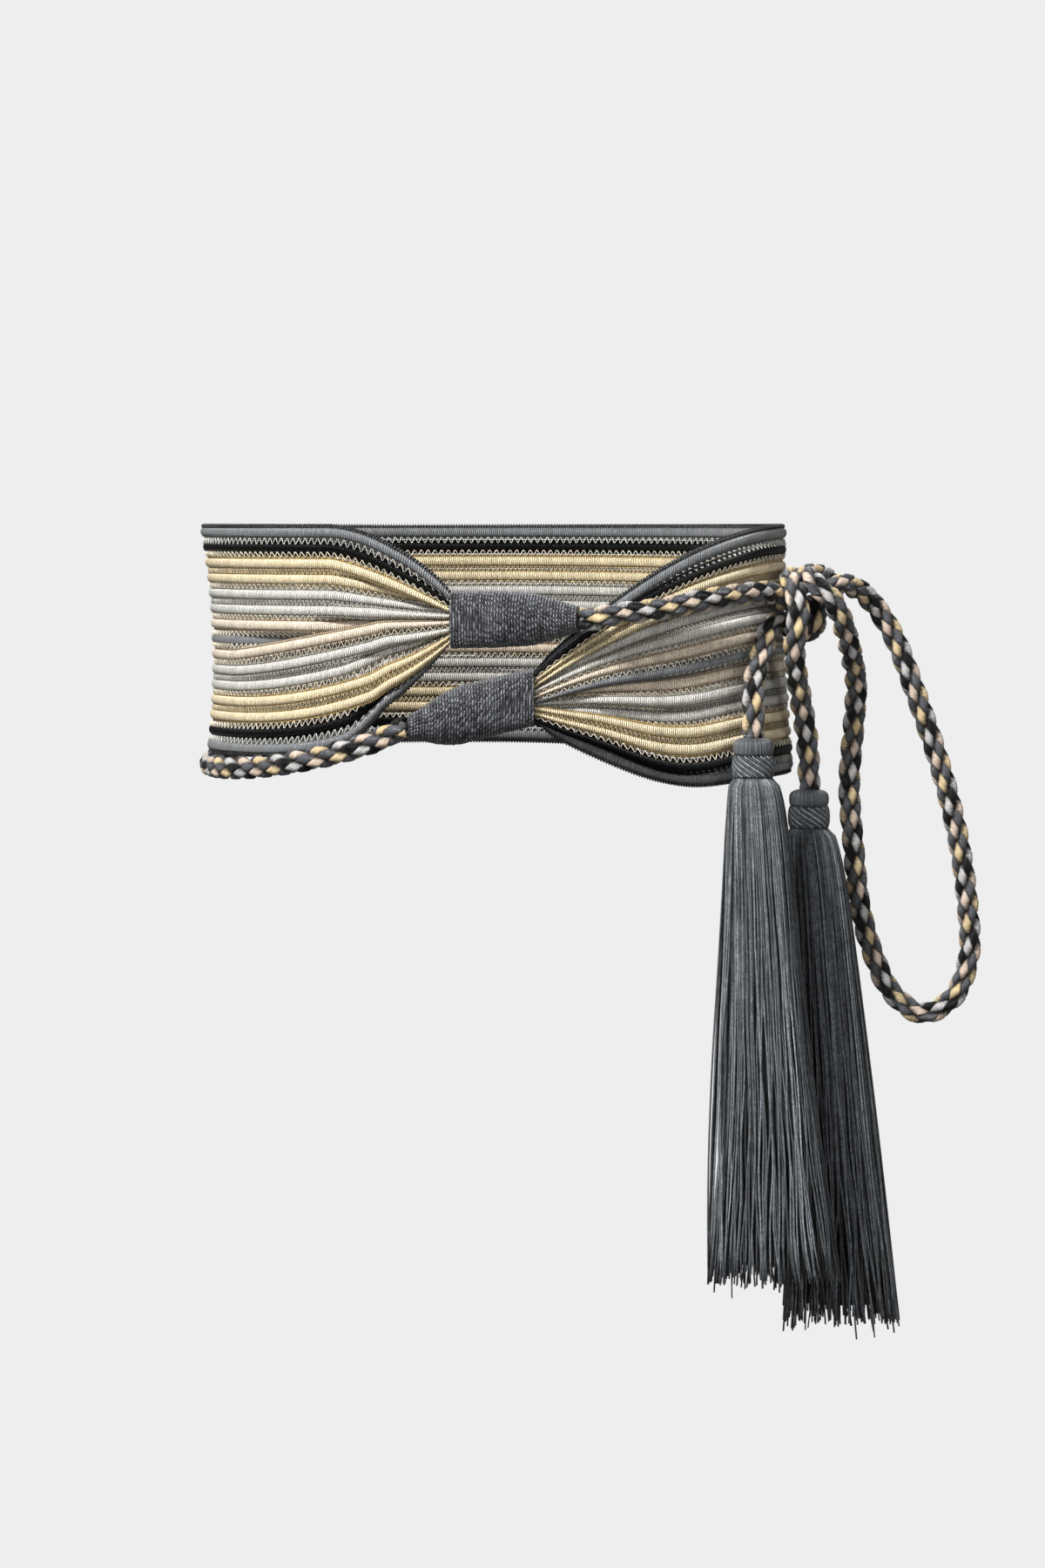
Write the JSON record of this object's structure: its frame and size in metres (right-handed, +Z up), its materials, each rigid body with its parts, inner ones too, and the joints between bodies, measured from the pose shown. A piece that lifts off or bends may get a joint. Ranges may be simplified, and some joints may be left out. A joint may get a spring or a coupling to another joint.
{
  "type": "waist sash",
  "caption": "Wide waist sash of padded thread-wound ribs, gathered into two wound bindings at the front, with laid cords tied in a half bow at one hip and ending in long tassels.",
  "frame": {"origin": "middle of the waist that the sash goes round, half way up the band at the back", "axes": "+X to the right as seen from the front, along the waist's width; +Y from the front to the back; +Z up"},
  "size_m": [0.3601, 0.2075, 0.366],
  "materials": {
    "slate_thread": "satin thread wound over padding",
    "black_thread": "satin thread wound over padding",
    "gold_thread": "lustrous thread wound over padding",
    "silver_thread": "lustrous thread wound over padding",
    "beige_thread": "satin thread wound over padding",
    "binding_thread": "twisted thread in close turns",
    "cord_thread": "laid cord of satin yarns in several colours",
    "tassel_thread": "silky twisted thread"
  },
  "bodies": {
    "root": {"rib_01_slate": "slate_thread", "rib_02_black": "black_thread", "rib_03_gold": "gold_thread", "rib_04_gold": "gold_thread", "rib_05_silver": "silver_thread", "rib_06_silver": "silver_thread", "rib_07_beige": "beige_thread", "rib_08_slate": "slate_thread", "rib_09_beige": "beige_thread", "rib_10_silver": "silver_thread", "rib_11_silver": "silver_thread", "rib_12_gold": "gold_thread", "rib_13_gold": "gold_thread", "rib_14_black": "black_thread", "rib_15_slate": "slate_thread", "binding_upper": "binding_thread", "binding_lower": "binding_thread", "cord_front_run": "cord_thread", "cord_back_run": "cord_thread", "cord_loop": "cord_thread", "cord_tail_front": "cord_thread", "cord_tail_rear": "cord_thread", "knot": "cord_thread", "tassel_front": "tassel_thread", "tassel_front_wrap": "tassel_thread", "tassel_rear": "tassel_thread", "tassel_rear_wrap": "tassel_thread"}
  },
  "joints": []
}
